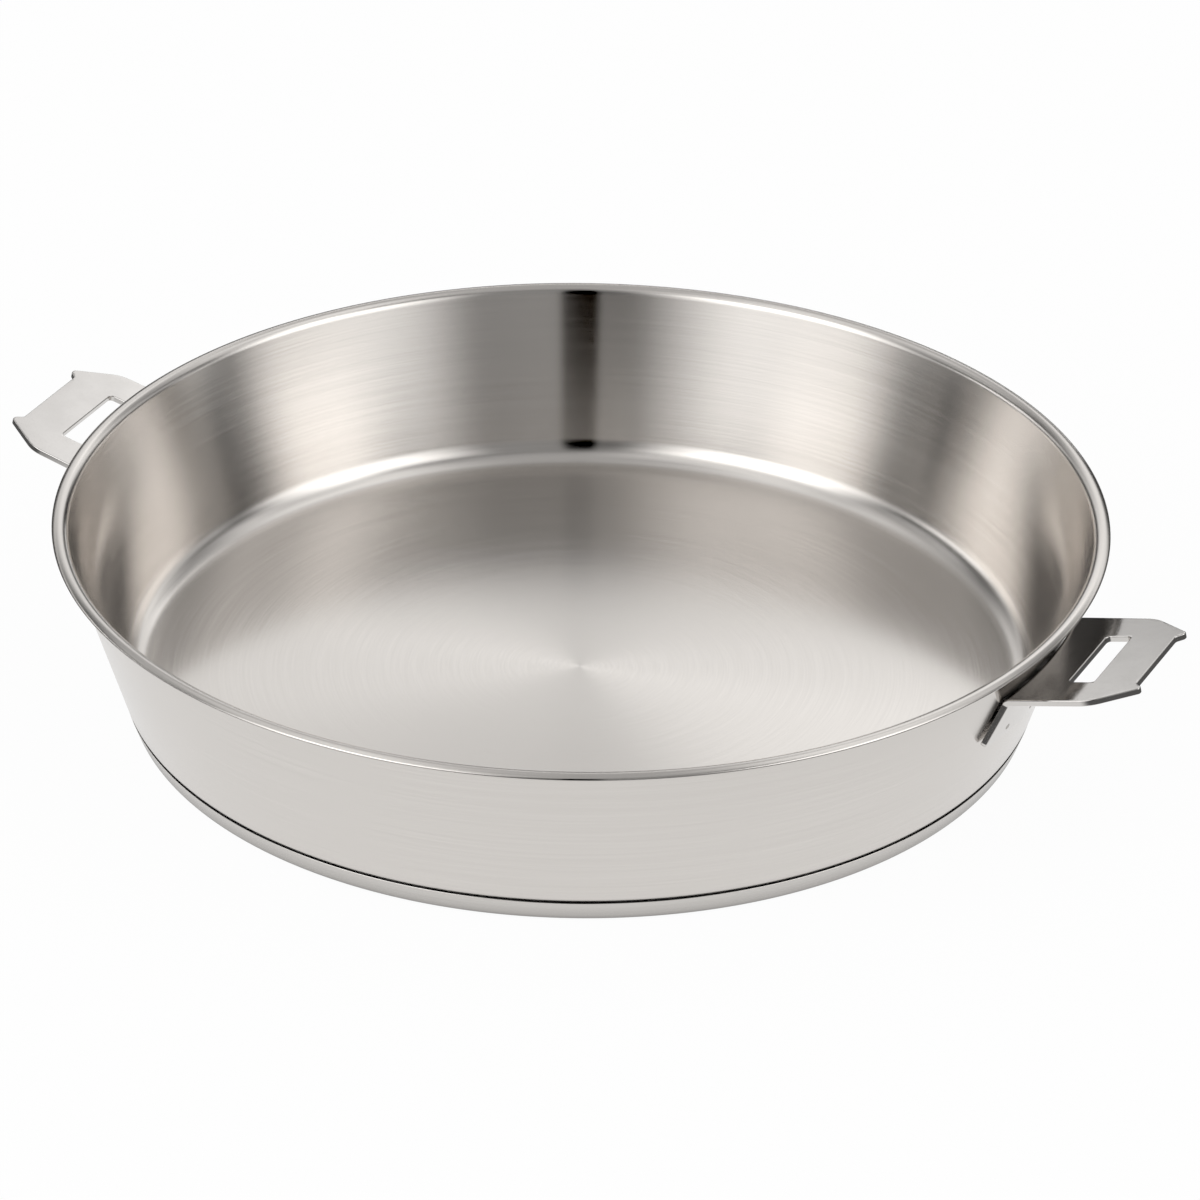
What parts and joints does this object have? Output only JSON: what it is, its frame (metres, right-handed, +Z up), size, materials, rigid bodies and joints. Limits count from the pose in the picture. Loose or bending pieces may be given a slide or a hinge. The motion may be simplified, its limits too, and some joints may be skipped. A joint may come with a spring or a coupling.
{
  "type": "frying pan",
  "caption": "Shallow stainless frying pan with a leaning wall, a rolled pouring lip and a capped sandwich base, and slotted side lugs that take clip-on handles.",
  "frame": {"origin": "centre of the base, on the surface that the pan stands on", "axes": "+X through the right lug, +Z up through the pan's open top"},
  "size_m": [0.3544, 0.3, 0.0574],
  "materials": {
    "body_steel": "brushed in circles",
    "cap_steel": "satin",
    "lug_steel": "polished",
    "weld_steel": "heat tinted",
    "core_aluminium": "rolled",
    "braze_filler": "matt"
  },
  "bodies": {
    "root": {"pan_body": "body_steel", "braze_upper": "braze_filler", "core_disc": "core_aluminium", "braze_lower": "braze_filler", "base_cap": "cap_steel", "lug_right": "lug_steel", "lug_left": "lug_steel", "weld_right_1": "weld_steel", "weld_right_2": "weld_steel", "weld_right_3": "weld_steel", "weld_right_4": "weld_steel", "weld_left_1": "weld_steel", "weld_left_2": "weld_steel", "weld_left_3": "weld_steel", "weld_left_4": "weld_steel"}
  },
  "joints": []
}
